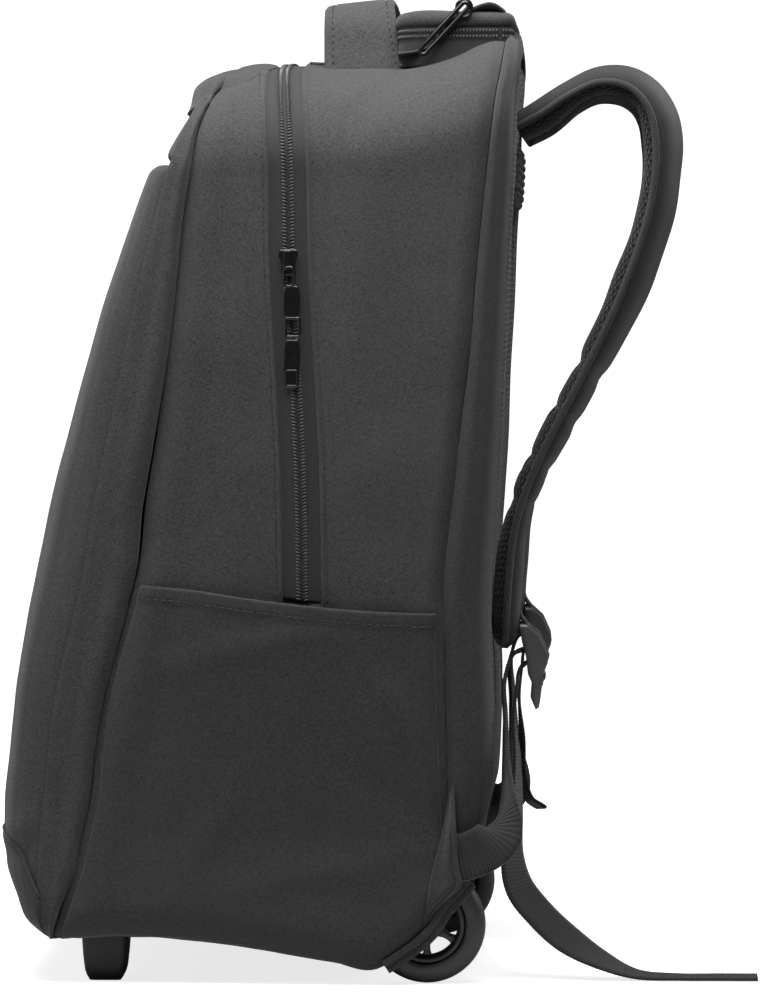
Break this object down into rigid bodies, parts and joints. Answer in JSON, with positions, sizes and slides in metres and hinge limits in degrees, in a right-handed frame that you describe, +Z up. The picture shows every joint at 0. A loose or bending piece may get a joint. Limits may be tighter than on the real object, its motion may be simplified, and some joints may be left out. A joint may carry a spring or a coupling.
{
  "type": "wheeled backpack",
  "caption": "Soft trolley backpack with a hollow zipped body, layered front, side pockets, padded shoulder straps, grab handle and a rigid base on wheels and feet.",
  "frame": {"origin": "on the floor, under the middle of the part's bounding box", "axes": "+Z up; the front pockets face -Y and the shoulder straps +Y; X is the bag's width"},
  "size_m": [0.3396, 0.3988, 0.5235],
  "materials": {
    "cloth": "charcoal two-tone melange polyester, plain weave",
    "dark_cloth": "charcoal melange polyester, slightly darker",
    "air_mesh": "black spacer mesh over foam",
    "webbing": "black woven polyester webbing",
    "zip_tape": "dark herringbone zip tape with a fine coil",
    "pull_metal": "gloss black enamel on cast metal",
    "lock_plastic": "grey satin moulded plastic",
    "base_plastic": "black moulded plastic, fine texture",
    "tyre": "dark grey solid tyre",
    "axle_steel": "plated steel"
  },
  "bodies": {
    "bag": {"main_shell": "cloth", "zip_tape": "zip_tape", "back_panel": "air_mesh", "back_pad": "air_mesh", "front_gusset": "cloth", "front_boot": "dark_cloth", "front_panel": "cloth", "front_band": "cloth", "top_cap": "cloth", "side_pocket_right": "dark_cloth", "side_pocket_left": "dark_cloth", "anchor_tab_right": "webbing", "anchor_tab_left": "webbing", "shoulder_strap_right": "cloth", "shoulder_strap_left": "cloth", "ladder_lock_right": "lock_plastic", "ladder_lock_left": "lock_plastic", "strap_webbing_right": "webbing", "strap_webbing_left": "webbing", "lower_webbing_right": "webbing", "lower_webbing_left": "webbing", "grab_handle": "cloth", "trolley_lid": "cloth", "lid_zip": "zip_tape", "zip_slider_right": "pull_metal", "zip_pull_right": "pull_metal", "lid_pull": "pull_metal", "base_frame": "base_plastic", "axle_right": "axle_steel", "axle_left": "axle_steel", "foot_right": "base_plastic", "foot_left": "base_plastic"},
    "wheel_right": {"wheel_hub_right": "base_plastic", "wheel_tyre_right": "tyre"},
    "wheel_left": {"wheel_hub_left": "base_plastic", "wheel_tyre_left": "tyre"}
  },
  "joints": [
    {"name": "wheel_right_spin", "type": "hinge", "parent": "bag", "child": "wheel_right", "pos_m": [0.133, 0.02482, 0.031], "axis": [1, 0, 0], "continuous": true},
    {"name": "wheel_left_spin", "type": "hinge", "parent": "bag", "child": "wheel_left", "pos_m": [-0.133, 0.02482, 0.031], "axis": [1, 0, 0], "continuous": true}
  ]
}
